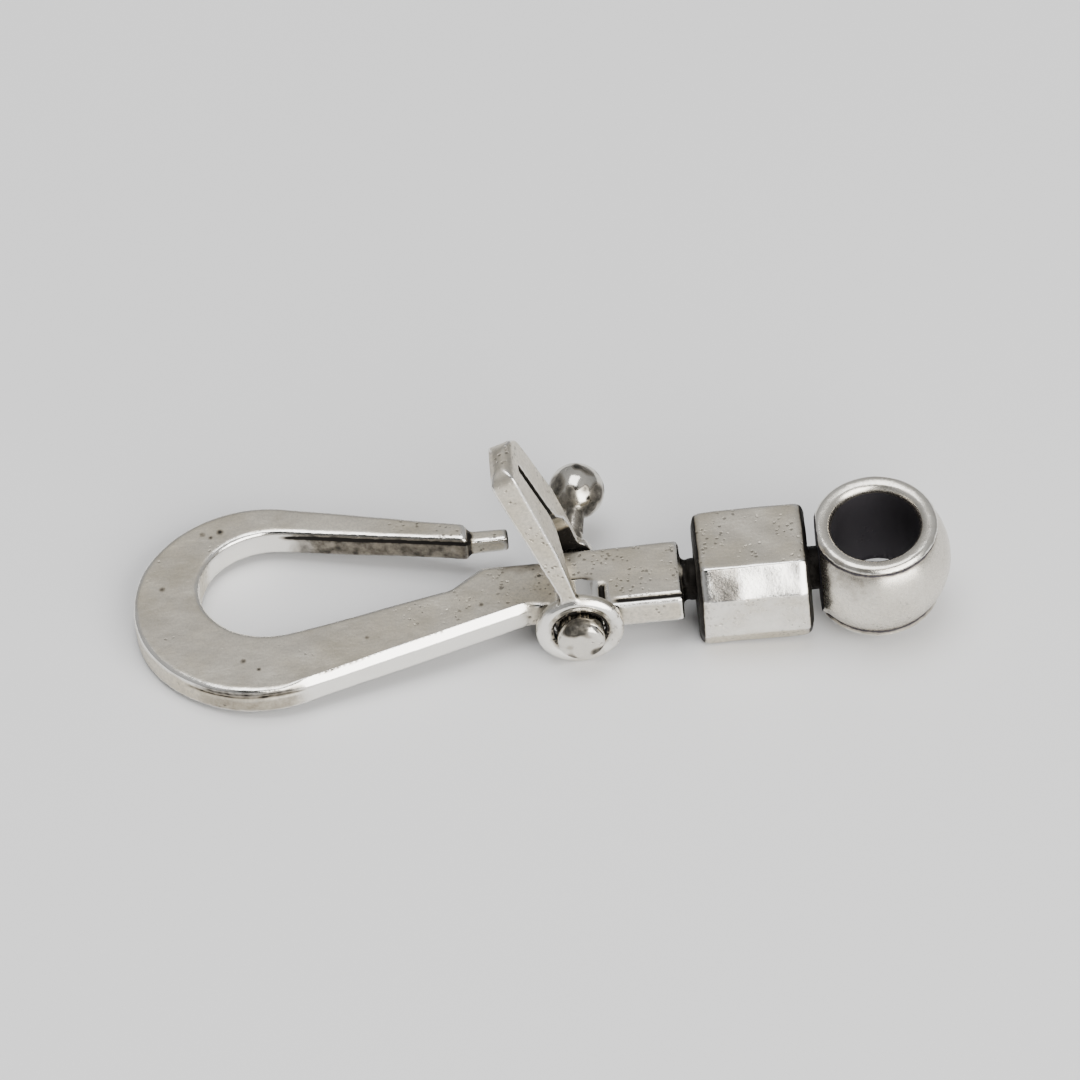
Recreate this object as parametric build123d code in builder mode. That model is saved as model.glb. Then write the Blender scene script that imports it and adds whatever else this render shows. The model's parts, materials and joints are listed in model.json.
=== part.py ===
from build123d import *
import math
import os

# Hook clasp in oxidised silver, in millimetres.
# Along the clasp, "along" runs from the round end of the hook to the eye bead, "across" to the
# keeper's ball side, and "up" stands square to the flat hook.

# Flat hook
plate_thickness = 0.88
plate_edge_round = 0.12
round_end_radius = 3.45
round_end_across = 0.42
opening_radius = 1.86
opening_along = 3.72
opening_across = 0.95
tip_arm_end = 9.1
tip_arm_outer = 2.56
tip_arm_inner = 1.84
tongue_length = 1.1
tongue_width = 0.5
tongue_step = 0.22
throat_end = 8.5
throat_across = 0.14

# Shank and post
shank_start = 10.5
shank_throat_rise = 0.9
shank_width = 1.7
shank_end = 14.7
block_start = 11.1
block_width = 2.3
block_thickness = 0.92
block_edge_round = 0.12
knuckle_start = 0.1
post_diameter = 1.2
post_clearance = 0.02

# Cross pin
pin_along = 11.85
pin_diameter = 0.56
pin_seat_clearance = 0.02
pin_running_clearance = 0.04
ball_offset_along = 0.25
ball_offset_up = 0.3
ball_diameter = 1.56
ball_neck = 1.0
head_diameter = 1.28
head_end = 2.05
head_end_round = 0.2
head_seat_gap = 0.05
head_running_clearance = 0.06

# Keeper
keeper_angle = 68.0
keeper_reach = 5.7
keeper_strip = 0.32
keeper_side_clearance = 0.08
keeper_shoulder = 0.9
keeper_fork_start = 1.4
keeper_fork_end = 2.6
keeper_near_end = 1.0
keeper_far_end = 0.83
keeper_slot = 0.2
keeper_slot_across = 0.1
keeper_slot_across_end = -0.15
keeper_end_wall = 0.65
keeper_near_end_round = 0.35
keeper_far_end_round = 1.15
keeper_lower_edge_at_eye = -0.3
keeper_lower_edge = 0.04
keeper_upper_edge_at_eye = 0.3
keeper_upper_edge_at_fork = 0.64
keeper_upper_edge_at_end = 0.78
keeper_eye_diameter = 2.4
keeper_far_eye_diameter = 1.1

# Collar
collar_gap = 0.3
collar_length = 3.1
collar_width = 3.3
collar_height = 2.9
collar_edge_cut_across = 0.55
collar_edge_cut_up = 0.8
collar_end_cut = 0.22

# Eye bead
bead_gap = 0.2
bead_neck_diameter = 2.5
bead_neck_length = 0.03
bead_diameter = 4.0
bead_height = 2.9
bead_shoulder_diameter = 3.3
rim_diameter = 3.4
rim_height = 0.3
rim_groove = 0.1
bore_diameter = 2.34
bead_rise = 0.22
bead_turn = 6.0
post_end_depth = 0.3

# Places worked out from the sizes
half_plate = plate_thickness / 2
half_shank = shank_width / 2
half_block = block_width / 2
collar_start = shank_end + collar_gap
collar_end = collar_start + collar_length
bead_start = collar_end + bead_gap
bead_along = bead_start + bead_neck_length + math.sqrt(bead_diameter ** 2 - bead_neck_diameter ** 2) / 2
clasp_length = bead_along + bead_diameter / 2
leg_inner = half_block + keeper_side_clearance
leg_outer = leg_inner + keeper_strip
ball_across = leg_outer + keeper_side_clearance + ball_neck + ball_diameter / 2
pin_head_start = half_block + head_seat_gap

# The clasp lies on the round end of the hook and on the lower front edge of the collar
edge_from_round = collar_start + collar_end_cut - plate_edge_round
edge_below_round = collar_height / 2 - half_plate + plate_edge_round
rest_slope = math.degrees(
    math.atan2(edge_below_round, edge_from_round)
    - math.asin(plate_edge_round / math.hypot(edge_from_round, edge_below_round)))
slope_sine = math.sin(math.radians(rest_slope))
slope_cosine = math.cos(math.radians(rest_slope))
rest_height = plate_edge_round + (half_plate - plate_edge_round) * slope_cosine - plate_edge_round * slope_sine
far_side = max(round_end_across + round_end_radius, ball_across + ball_diameter / 2)
near_side = min(round_end_across - round_end_radius, -head_end)
rest_origin = (-(clasp_length * slope_cosine - half_plate * slope_sine) / 2,
               -(far_side + near_side) / 2,
               rest_height)
clasp = Plane(origin=rest_origin, x_dir=(slope_cosine, 0, slope_sine), z_dir=(-slope_sine, 0, slope_cosine))


def clasp_point(along, across, up=0.0):
    """A point of the clasp in the part's own frame."""
    return clasp.from_local_coords((along, across, up))


def side_plane(along, across):
    """A plane square to the cross pin, with x along the clasp and y up."""
    return Plane(origin=clasp_point(along, across), x_dir=clasp.x_dir, z_dir=-clasp.y_dir)


def end_plane(along):
    """A plane square to the clasp's length, facing the eye bead."""
    return Plane(origin=clasp_point(along, 0), x_dir=clasp.y_dir, z_dir=clasp.x_dir)


def touch_point(centre, radius, point, side):
    """Where a line from the point touches the circle, on its far side (1) or near side (-1)."""
    run, rise = point[0] - centre[0], point[1] - centre[1]
    turn = math.atan2(rise, run) + side * math.acos(radius / math.hypot(run, rise))
    return (centre[0] + radius * math.cos(turn), centre[1] + radius * math.sin(turn))


# Hook, shank and post
outer_centre = (round_end_radius, round_end_across)
inner_centre = (opening_along, opening_across)
tip_outer = (tip_arm_end, tip_arm_outer)
tip_inner = (tip_arm_end, tip_arm_inner)
shank_near = (shank_start, -half_shank)
throat_floor = (throat_end, throat_across)
outer_far = touch_point(outer_centre, round_end_radius, tip_outer, 1)
outer_near = touch_point(outer_centre, round_end_radius, shank_near, -1)
inner_far = touch_point(inner_centre, opening_radius, tip_inner, 1)
inner_near = touch_point(inner_centre, opening_radius, throat_floor, -1)
tongue_across = (tip_arm_outer + tip_arm_inner) / 2
plate_end = block_start + 0.6

with BuildPart() as hook:
    with BuildSketch(clasp.offset(-half_plate)):
        with BuildLine():
            Line(tip_inner, inner_far)
            ThreePointArc(inner_far, (opening_along - opening_radius, opening_across), inner_near)
            Line(inner_near, throat_floor)
            Line(throat_floor, (throat_end + shank_throat_rise, half_shank))
            Line((throat_end + shank_throat_rise, half_shank), (plate_end, half_shank))
            Line((plate_end, half_shank), (plate_end, -half_shank))
            Line((plate_end, -half_shank), shank_near)
            Line(shank_near, outer_near)
            ThreePointArc(outer_near, (0, round_end_across), outer_far)
            Line(outer_far, tip_outer)
            Line(tip_outer, tip_inner)
        make_face()
    extrude(amount=plate_thickness)
    plate_rim = hook.faces().sort_by(Axis(clasp.origin, clasp.z_dir))
    fillet(plate_rim[0].edges() + plate_rim[-1].edges(), radius=plate_edge_round)
    with BuildSketch(clasp.offset(-half_plate + plate_edge_round)):
        with Locations((tip_arm_end - plate_edge_round, tongue_across)):
            Rectangle(tongue_length + plate_edge_round, tongue_width, align=(Align.MIN, Align.CENTER))
    extrude(amount=plate_thickness - tongue_step - plate_edge_round)
    with BuildPart(mode=Mode.PRIVATE) as shank_block:
        with BuildSketch(clasp.offset(-block_thickness / 2)):
            with Locations((block_start, 0)):
                Rectangle(shank_end - block_start, block_width, align=(Align.MIN, Align.CENTER))
        extrude(amount=block_thickness)
        fillet(shank_block.edges(), radius=block_edge_round)
    add(shank_block.part)
    with BuildSketch(side_plane(pin_along, -knuckle_start)):
        Circle(head_diameter / 2)
    extrude(amount=half_block - knuckle_start)
    with BuildSketch(end_plane(shank_end)):
        Circle(post_diameter / 2)
    extrude(amount=bead_start + post_end_depth - shank_end)
    with BuildSketch(side_plane(pin_along, half_block)):
        Circle(pin_diameter / 2 + pin_seat_clearance)
    extrude(amount=block_width, mode=Mode.SUBTRACT)

# Cross pin: a thick end for the near leg, a thin bar through the shank, and a ball set a little off its line
ball_centre = clasp_point(pin_along + ball_offset_along, ball_across, ball_offset_up)
with BuildPart() as pivot_pin:
    with BuildSketch(side_plane(pin_along, leg_outer + keeper_side_clearance)):
        Circle(pin_diameter / 2)
    extrude(amount=leg_outer + keeper_side_clearance + pin_head_start)
    with BuildSketch(side_plane(pin_along, -pin_head_start)):
        Circle(head_diameter / 2)
    extrude(amount=head_end - pin_head_start)
    fillet(pivot_pin.edges().group_by(Axis.Y)[0], radius=head_end_round)
    neck_foot = clasp_point(pin_along, leg_outer + keeper_side_clearance - pin_diameter / 4)
    with BuildSketch(Plane(origin=neck_foot, z_dir=ball_centre - neck_foot)):
        Circle(pin_diameter / 2)
    extrude(amount=(ball_centre - neck_foot).length)
    with Locations(ball_centre):
        Sphere(ball_diameter / 2)

# Keeper: two legs that run together above and fork round the shank to an eye each
lift = math.radians(keeper_angle)
reach_direction = clasp.z_dir * math.sin(lift) - clasp.x_dir * math.cos(lift)
back_direction = clasp.x_dir * math.sin(lift) + clasp.z_dir * math.cos(lift)
keeper_plane = Plane(origin=clasp_point(pin_along, 0) + back_direction * keeper_upper_edge_at_end,
                     x_dir=reach_direction, z_dir=-back_direction)
keeper_side = Plane(origin=clasp_point(pin_along, -leg_outer), x_dir=reach_direction, z_dir=clasp.y_dir)
slot_half = keeper_slot / 2
slot_end = keeper_reach - keeper_end_wall
with BuildPart() as keeper:
    with BuildSketch(keeper_plane):
        with BuildLine():
            Polyline((0, leg_outer), (keeper_shoulder, leg_outer), (keeper_reach, keeper_far_end),
                     (keeper_reach, -keeper_near_end), (keeper_shoulder, -leg_outer), (0, -leg_outer), close=True)
        make_face()
        fillet(vertices().group_by(Axis.X)[-1].sort_by(Axis.Y)[-1], radius=keeper_far_end_round)
        fillet(vertices().group_by(Axis.X)[-1].sort_by(Axis.Y)[0], radius=keeper_near_end_round)
        with BuildLine():
            Polyline((0, leg_inner), (keeper_fork_start, leg_inner),
                     (keeper_fork_end, keeper_slot_across + slot_half),
                     (slot_end, keeper_slot_across_end + slot_half), (slot_end, keeper_slot_across_end - slot_half),
                     (keeper_fork_end, keeper_slot_across - slot_half),
                     (keeper_fork_start, -leg_inner), (0, -leg_inner), close=True)
        make_face(mode=Mode.SUBTRACT)
    extrude(amount=keeper_upper_edge_at_end - keeper_lower_edge_at_eye)
    with BuildSketch(keeper_side):
        with BuildLine():
            Polyline((0, keeper_lower_edge_at_eye), (keeper_fork_start, keeper_lower_edge),
                     (keeper_reach, keeper_lower_edge), (keeper_reach, keeper_upper_edge_at_end),
                     (keeper_fork_end, keeper_upper_edge_at_fork), (0, keeper_upper_edge_at_eye), close=True)
        make_face()
    extrude(amount=2 * leg_outer, mode=Mode.INTERSECT)
    for leg, eye in ((leg_outer, keeper_far_eye_diameter), (-leg_inner, keeper_eye_diameter)):
        with BuildSketch(side_plane(pin_along, leg)):
            Circle(eye / 2)
        extrude(amount=keeper_strip)
    with BuildSketch(side_plane(pin_along, leg_outer)):
        Circle(pin_diameter / 2 + pin_running_clearance)
    extrude(amount=leg_outer, mode=Mode.SUBTRACT)
    with BuildSketch(side_plane(pin_along, 0)):
        Circle(head_diameter / 2 + head_running_clearance)
    extrude(amount=leg_outer, mode=Mode.SUBTRACT)

# Collar: a block with its long edges cut off
collar_flat = collar_width / 2 - collar_edge_cut_across
collar_wall = collar_height / 2 - collar_edge_cut_up
with BuildPart() as collar:
    with BuildSketch(end_plane(collar_start)):
        with BuildLine():
            Polyline((collar_flat, collar_height / 2), (collar_width / 2, collar_wall),
                     (collar_width / 2, -collar_wall), (collar_flat, -collar_height / 2),
                     (-collar_flat, -collar_height / 2), (-collar_width / 2, -collar_wall),
                     (-collar_width / 2, collar_wall), (-collar_flat, collar_height / 2), close=True)
        make_face()
    extrude(amount=collar_length)
    collar_ends = collar.faces().sort_by(Axis(clasp.origin, clasp.x_dir))
    chamfer(collar_ends[0].edges() + collar_ends[-1].edges(), length=collar_end_cut)
    with BuildSketch(end_plane(collar_start)):
        Circle(post_diameter / 2 + post_clearance)
    extrude(amount=collar_length, mode=Mode.SUBTRACT)

# Eye bead: a barrel with a raised rim round each end of its hole, and a neck for the post
bead_tip = math.radians(bead_turn)
bead_up = clasp.z_dir * math.cos(bead_tip) - clasp.y_dir * math.sin(bead_tip)
bead_side = clasp.y_dir * math.cos(bead_tip) + clasp.z_dir * math.sin(bead_tip)
bead_origin = clasp_point(bead_along, 0, bead_rise)
bead_middle = Plane(origin=bead_origin, x_dir=clasp.x_dir, z_dir=bead_up)
bead_section = Plane(origin=bead_origin, x_dir=clasp.x_dir, z_dir=-bead_side)
barrel_half = bead_height / 2 - rim_height
barrel_swell = (bead_diameter - bead_shoulder_diameter) / 2
barrel_radius = (barrel_half ** 2 + barrel_swell ** 2) / (2 * barrel_swell)
barrel_centre = bead_diameter / 2 - barrel_radius
barrel_turn = math.degrees(math.asin(barrel_half / barrel_radius))
with BuildPart() as eye_bead:
    with BuildSketch(end_plane(bead_start)):
        Circle(bead_neck_diameter / 2)
    extrude(amount=bead_along - bead_start)
    with BuildSketch(bead_section):
        with BuildLine():
            CenterArc((barrel_centre, 0), barrel_radius, -barrel_turn, barrel_turn)
            CenterArc((barrel_centre, 0), barrel_radius, 0, barrel_turn)
            Polyline((bead_shoulder_diameter / 2, barrel_half),
                     (bead_shoulder_diameter / 2 - rim_groove, barrel_half + rim_groove),
                     (rim_diameter / 2, barrel_half + rim_groove),
                     (rim_diameter / 2, bead_height / 2),
                     (0, bead_height / 2),
                     (0, -bead_height / 2),
                     (rim_diameter / 2, -bead_height / 2),
                     (rim_diameter / 2, -barrel_half - rim_groove),
                     (bead_shoulder_diameter / 2 - rim_groove, -barrel_half - rim_groove),
                     (bead_shoulder_diameter / 2, -barrel_half))
        make_face()
    revolve(axis=Axis(bead_origin, bead_up))
    split(bisect_by=end_plane(bead_start), keep=Keep.TOP)
    with BuildSketch(bead_middle):
        Circle(bore_diameter / 2)
    extrude(amount=bead_height / 2, both=True, mode=Mode.SUBTRACT)
    with BuildSketch(end_plane(bead_start)):
        Circle(post_diameter / 2 + post_clearance)
    extrude(amount=post_end_depth + post_clearance, mode=Mode.SUBTRACT)

os.makedirs("parts", exist_ok=True)
hook.part.label = "hook"
export_step(hook.part, "parts/hook.step")
pivot_pin.part.label = "pivot_pin"
export_step(pivot_pin.part, "parts/pivot_pin.step")
keeper.part.label = "keeper"
export_step(keeper.part, "parts/keeper.step")
collar.part.label = "collar"
export_step(collar.part, "parts/collar.step")
eye_bead.part.label = "eye_bead"
export_step(eye_bead.part, "parts/eye_bead.step")

print(f"rest slope {rest_slope:.3f} degrees, length {clasp_length:.3f}")
print(f"pin axis {tuple(clasp_point(pin_along, 0))}, cross direction {tuple(clasp.y_dir)}")
print(f"bead centre {tuple(bead_origin)}, bore direction {tuple(bead_up)}")
for piece in (hook, pivot_pin, keeper, collar, eye_bead):
    print(piece.part.label, round(piece.part.volume, 3), piece.part.bounding_box())
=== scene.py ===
import json
import math

import bmesh
import bpy
from mathutils import Matrix, Vector, noise


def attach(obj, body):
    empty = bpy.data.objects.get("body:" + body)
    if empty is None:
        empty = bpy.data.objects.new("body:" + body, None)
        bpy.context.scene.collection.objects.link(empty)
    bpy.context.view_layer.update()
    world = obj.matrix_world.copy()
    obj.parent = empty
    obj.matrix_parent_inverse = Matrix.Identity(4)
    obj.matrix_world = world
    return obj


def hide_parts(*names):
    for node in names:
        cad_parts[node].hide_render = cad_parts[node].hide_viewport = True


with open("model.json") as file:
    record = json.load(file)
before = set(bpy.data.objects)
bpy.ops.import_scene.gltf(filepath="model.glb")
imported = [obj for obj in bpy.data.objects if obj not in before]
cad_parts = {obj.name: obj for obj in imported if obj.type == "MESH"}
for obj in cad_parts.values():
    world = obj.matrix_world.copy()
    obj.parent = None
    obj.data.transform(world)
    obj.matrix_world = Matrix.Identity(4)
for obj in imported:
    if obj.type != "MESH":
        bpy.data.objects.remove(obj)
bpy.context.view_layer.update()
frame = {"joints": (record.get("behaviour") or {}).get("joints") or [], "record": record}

# The clasp's own sizes, in millimetres, as the frame was built with them.
# Along the clasp runs x, across it y, and z stands square to the flat hook.
PLATE_THICKNESS = 0.88
PLATE_EDGE = 0.15
ROUND_END_RADIUS = 3.45
ROUND_END_ACROSS = 0.42
OPENING_RADIUS = 1.86
OPENING_ALONG = 3.72
OPENING_ACROSS = 0.95
TIP_ARM_END = 9.1
TIP_ARM_OUTER = 2.56
TIP_ARM_INNER = 1.84
TONGUE_LENGTH = 1.1
TONGUE_WIDTH = 0.5
TONGUE_STEP = 0.22
THROAT_END = 8.5
THROAT_ACROSS = 0.14
THROAT_RISE = 0.9
SHANK_START = 10.5
SHANK_WIDTH = 1.7
BLOCK_START = 11.1
BLOCK_WIDTH = 2.3
BLOCK_THICKNESS = 0.92
BLOCK_EDGE = 0.12
KNUCKLE_START = 0.1
SHANK_END = 14.7
POST_DIAMETER = 1.2
PIN_ALONG = 11.85
PIN_DIAMETER = 0.56
PIN_BORE = 0.60
FAR_EYE_BORE = 0.64
NEAR_EYE_BORE = 1.40
BALL_DIAMETER = 1.56
BALL_NECK = 1.0
BALL_OFFSET_ALONG = 0.25
BALL_OFFSET_UP = 0.3
HEAD_DIAMETER = 1.28
HEAD_END = 2.05
HEAD_SEAT_GAP = 0.05
KEEPER_ANGLE = 68.0
KEEPER_REACH = 5.7
KEEPER_STRIP = 0.32
KEEPER_SHOULDER = 0.9
KEEPER_FORK_START = 1.4
KEEPER_FORK_END = 2.6
KEEPER_NEAR_END = 1.0
KEEPER_FAR_END = 0.83
KEEPER_SLOT = 0.2
KEEPER_SLOT_ACROSS = 0.1
KEEPER_SLOT_ACROSS_END = -0.15
KEEPER_END_WALL = 0.65
KEEPER_BEND_ROUND = 0.4
NOSE_NEAR_CORNER = 0.45
NOSE_FAR_CORNER = 0.95
NOSE_ROUND = 0.34
KEEPER_LOWER_AT_EYE = -0.3
KEEPER_LOWER = 0.04
KEEPER_UPPER_AT_EYE = 0.3
KEEPER_UPPER_AT_FORK = 0.64
KEEPER_UPPER_AT_END = 0.78
KEEPER_EYE_DIAMETER = 2.4
KEEPER_FAR_EYE_DIAMETER = 1.1
SIDE_CLEARANCE = 0.08
COLLAR_START = 15.0
COLLAR_LENGTH = 3.1
COLLAR_WIDTH = 3.3
COLLAR_HEIGHT = 2.9
COLLAR_CUT_ACROSS = 0.55
COLLAR_CUT_UP = 0.8
COLLAR_END_CUT = 0.24
BEAD_START = 18.3
BEAD_NECK_DIAMETER = 2.5
BEAD_NECK_LENGTH = 0.03
BEAD_DIAMETER = 4.0
BEAD_HEIGHT = 2.9
BEAD_SHOULDER_DIAMETER = 3.3
RIM_DIAMETER = 3.4
RIM_HEIGHT = 0.3
BORE_DIAMETER = 2.34
BEAD_RISE = 0.22
BEAD_TURN = 6.0

LEG_INNER = BLOCK_WIDTH / 2 + SIDE_CLEARANCE
LEG_OUTER = LEG_INNER + KEEPER_STRIP
HEAD_START = BLOCK_WIDTH / 2 + HEAD_SEAT_GAP
BAR_END = LEG_OUTER + SIDE_CLEARANCE
BALL_CENTRE = (PIN_ALONG + BALL_OFFSET_ALONG, BAR_END + BALL_NECK + BALL_DIAMETER / 2, BALL_OFFSET_UP)
BEAD_ALONG = BEAD_START + BEAD_NECK_LENGTH + math.sqrt(BEAD_DIAMETER ** 2 - BEAD_NECK_DIAMETER ** 2) / 2

# Casting pits that show on the hook's face: along, across and radius
HOOK_PITS = ((2.0, 3.0, 0.13), (2.22, 2.86, 0.09), (2.48, 3.03, 0.15), (0.85, 1.1, 0.13), (2.9, -1.85, 0.12),
             (3.3, -2.2, 0.09), (9.3, -0.6, 0.10), (6.2, -1.4, 0.09))

# The filed facet along the near arm: the height it starts at and its tilt in degrees
FACET_START = 0.19
FACET_TILT = 35.0

# The groove along the shank block's near edge
GROOVE_START = 12.7
GROOVE_INSET = 0.24

# The post's thinner first length after the block, and how far the thicker rest starts from it
POST_THIN_DIAMETER = BLOCK_THICKNESS - 0.06
POST_THIN_END = 0.2
POST_THICK_START = 0.13

# The raised ring on the near eye: radius, and how far it stands proud
EYE_RING = ((0.76, -0.05), (0.80, 0.0), (0.92, 0.05), (1.0, 0.07), (1.07, 0.05), (1.12, 0.0), (1.14, -0.05),
            (0.76, -0.05))

# The cutter for the bead's hole, a slow cone: its length, and its radius against the bore's at each end
HOLE_LENGTH = 6.0
HOLE_LESS_BELOW = 0.24
HOLE_MORE_ABOVE = 0.08

# The ball's darker patches, painted dark reflections: the way each faces, and how far round it reaches, as a
# cosine
BALL_PATCHES = (((-0.75, -0.25, 0.62), 0.93), ((-0.35, -0.85, 0.35), 0.95), ((0.72, -0.55, 0.30), 0.95),
                ((0.25, -0.95, -0.1), 0.96))

# How strongly a bend in the surface shows as a polished edge or as a dark crevice
EDGE_GAIN = 9.0
CREVICE_GAIN = 12.0

# How fine the cast surfaces are, in millimetres
HOOK_GRID = 0.055
KEEPER_GRID = 0.034
PIN_GRID = 0.03
BEAD_GRID = 0.045


def clasp_place():
    """The matrix from the clasp's own millimetres to the frame's metres."""
    hinge = frame["joints"][0]
    seat = [mount for mount in frame["record"]["mounts"] if mount["name"] == "hook_seat"][0]
    along, across = Vector(seat["axis"]), Vector(hinge["axis"])
    up = along.cross(across)
    origin = Vector(hinge["pos_m"]) - along * PIN_ALONG * 0.001
    place = Matrix.Identity(4)
    for column, direction in enumerate((along, across, up)):
        for row in range(3):
            place[row][column] = direction[row] * 0.001
    place.translation = origin
    return place


PLACE = clasp_place()


# Modelling helpers, all in the clasp's own millimetres
def arc_to(bm, vertex, centre, turn, steps):
    """Carries an outline on from the vertex, round the centre, and returns the last vertex."""
    swept = bmesh.ops.spin(bm, geom=[vertex], cent=(centre[0], centre[1], vertex.co.z), axis=(0, 0, 1),
                           angle=turn, steps=steps, use_duplicate=False)
    return [item for item in swept["geom_last"] if isinstance(item, bmesh.types.BMVert)][0]


def line_to(bm, vertex, point):
    """Carries an outline on from the vertex to a point in its plane."""
    drawn = bmesh.ops.extrude_vert_indiv(bm, verts=[vertex])["verts"][0]
    drawn.co = Vector((point[0], point[1], vertex.co.z))
    return drawn


def touch_point(centre, radius, point, side):
    """Where a line from the point touches the circle, on its far side (1) or near side (-1)."""
    run, rise = point[0] - centre[0], point[1] - centre[1]
    turn = math.atan2(rise, run) + side * math.acos(radius / math.hypot(run, rise))
    return (centre[0] + radius * math.cos(turn), centre[1] + radius * math.sin(turn))


def turn_between(centre, start, end, way):
    """The signed angle from start to end about the centre, turning the way of the sign given."""
    angle = math.atan2(end[1] - centre[1], end[0] - centre[0]) - math.atan2(start[1] - centre[1],
                                                                           start[0] - centre[0])
    while angle * way < 0:
        angle += way * math.tau
    return angle


def filled(bm, height):
    """Closes the outline drawn so far and gives it its height."""
    bmesh.ops.remove_doubles(bm, verts=bm.verts, dist=0.001)
    face = bmesh.ops.contextual_create(bm, geom=bm.edges[:])["faces"]
    raised = bmesh.ops.extrude_face_region(bm, geom=face)
    bmesh.ops.translate(bm, verts=[item for item in raised["geom"] if isinstance(item, bmesh.types.BMVert)],
                        vec=(0, 0, height))
    bmesh.ops.recalc_face_normals(bm, faces=bm.faces)


def round_rims(bm, radius, segments=3, above=-100.0):
    """Rounds the sharp edges between the flat faces and the wall, if they lie above a height."""
    rims = [edge for edge in bm.edges if edge.calc_face_angle(0) > math.radians(50)
            and min(corner.co.z for corner in edge.verts) > above]
    bmesh.ops.bevel(bm, geom=rims, offset=radius, segments=segments, profile=0.5, affect="EDGES",
                    material=-1, clamp_overlap=True)


def block(bm, low, high):
    """A box between two corners."""
    made = bmesh.ops.create_cube(bm, size=1.0)
    low, high = Vector(low), Vector(high)
    bmesh.ops.scale(bm, verts=made["verts"], vec=high - low)
    bmesh.ops.translate(bm, verts=made["verts"], vec=(low + high) / 2)
    return made["verts"]


def round_bar(bm, start, end, diameter, segments=64):
    """A round bar between two points."""
    start, end = Vector(start), Vector(end)
    turn = (end - start).to_track_quat("Z", "Y").to_matrix().to_4x4()
    bmesh.ops.create_cone(bm, cap_ends=True, segments=segments, radius1=diameter / 2, radius2=diameter / 2,
                          depth=(end - start).length, matrix=Matrix.Translation((start + end) / 2) @ turn)


def lathe(bm, profile, centre, axis, steps):
    """Spins an open profile about the axis into a closed form."""
    corners = [bm.verts.new(point) for point in profile]
    edges = [bm.edges.new(pair) for pair in zip(corners, corners[1:])]
    bmesh.ops.spin(bm, geom=corners + edges, cent=centre, axis=axis, angle=math.tau, steps=steps,
                   use_merge=True, use_duplicate=False)
    bmesh.ops.remove_doubles(bm, verts=bm.verts, dist=0.0008)
    bmesh.ops.recalc_face_normals(bm, faces=bm.faces)


def as_object(bm, name):
    """A plain object from the bmesh."""
    mesh = bpy.data.meshes.new(name)
    bm.to_mesh(mesh)
    bm.free()
    thing = bpy.data.objects.new(name, mesh)
    bpy.context.scene.collection.objects.link(thing)
    return thing


def baked(thing):
    """Applies an object's modifiers to its mesh."""
    view = bpy.context.evaluated_depsgraph_get()
    mesh = bpy.data.meshes.new_from_object(thing.evaluated_get(view))
    old = thing.data
    thing.modifiers.clear()
    thing.data = mesh
    bpy.data.meshes.remove(old)
    return thing


def cut(thing, cutter):
    """Takes the cutter's form out of the thing."""
    tool = thing.modifiers.new("cut", "BOOLEAN")
    tool.operation = "DIFFERENCE"
    tool.solver = "EXACT"
    tool.object = cutter
    baked(thing)
    bpy.data.objects.remove(cutter)
    return thing


def cast(thing, grid, smoothing):
    """Fuses the bodies of a piece into one skin, as cast and soldered metal is, and softens it."""
    skin = thing.modifiers.new("skin", "REMESH")
    skin.mode = "VOXEL"
    skin.voxel_size = grid
    baked(thing)
    bm = bmesh.new()
    bm.from_mesh(thing.data)
    for _ in range(smoothing):
        bmesh.ops.smooth_vert(bm, verts=bm.verts, factor=0.5, use_axis_x=True, use_axis_y=True,
                              use_axis_z=True)
    bm.to_mesh(thing.data)
    bm.free()
    return thing


def unevenness(point, size, seed):
    """A smooth wander between about -1 and 1 that changes over the given size."""
    return noise.noise(Vector(point) / size + Vector((seed, seed * 1.7, seed * 0.3)))


def hand_finished(thing, waves, relief=None):
    """Presses small waves of (size, depth, seed) and a relief function into the skin."""
    mesh = thing.data
    normals = [vertex.normal.copy() for vertex in mesh.vertices]
    for vertex, normal in zip(mesh.vertices, normals):
        shift = sum(depth * (unevenness(vertex.co, size, seed) - 0.75) for size, depth, seed in waves)
        if relief:
            shift += relief(vertex.co, normal)
        vertex.co += normal * shift
    mesh.update()
    return thing


def filed(thing, place, facing, allowed):
    """Files a flat facet: whatever stands beyond the plane is pressed back to it, where allowed."""
    place, facing = Vector(place), Vector(facing).normalized()
    for vertex in thing.data.vertices:
        beyond = (vertex.co - place).dot(facing)
        if beyond > 0:
            vertex.co -= facing * beyond * allowed(vertex.co)
    thing.data.update()
    return thing


def soft_step(low, high, value):
    """0 below low, 1 above high and a smooth rise between."""
    share = min(max((value - low) / (high - low), 0.0), 1.0)
    return share * share * (3 - 2 * share)


def soft_drop(low, high, value):
    """1 below low, 0 above high and a smooth fall between."""
    return 1 - soft_step(low, high, value)


def soft_band(start, full, fading, end, value):
    """1 from full to fading, 0 outside start and end, and smooth between."""
    return soft_step(start, full, value) * soft_drop(fading, end, value)


def around(point, along, across):
    """How far a point lies from an upright axis."""
    return math.hypot(point.x - along, point.y - across)


def off_pin(point):
    """How far a point lies from the pin's line."""
    return math.hypot(point.x - PIN_ALONG, point.z)


def nowhere(point, normal):
    """No part of a piece."""
    return 0.0


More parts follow.
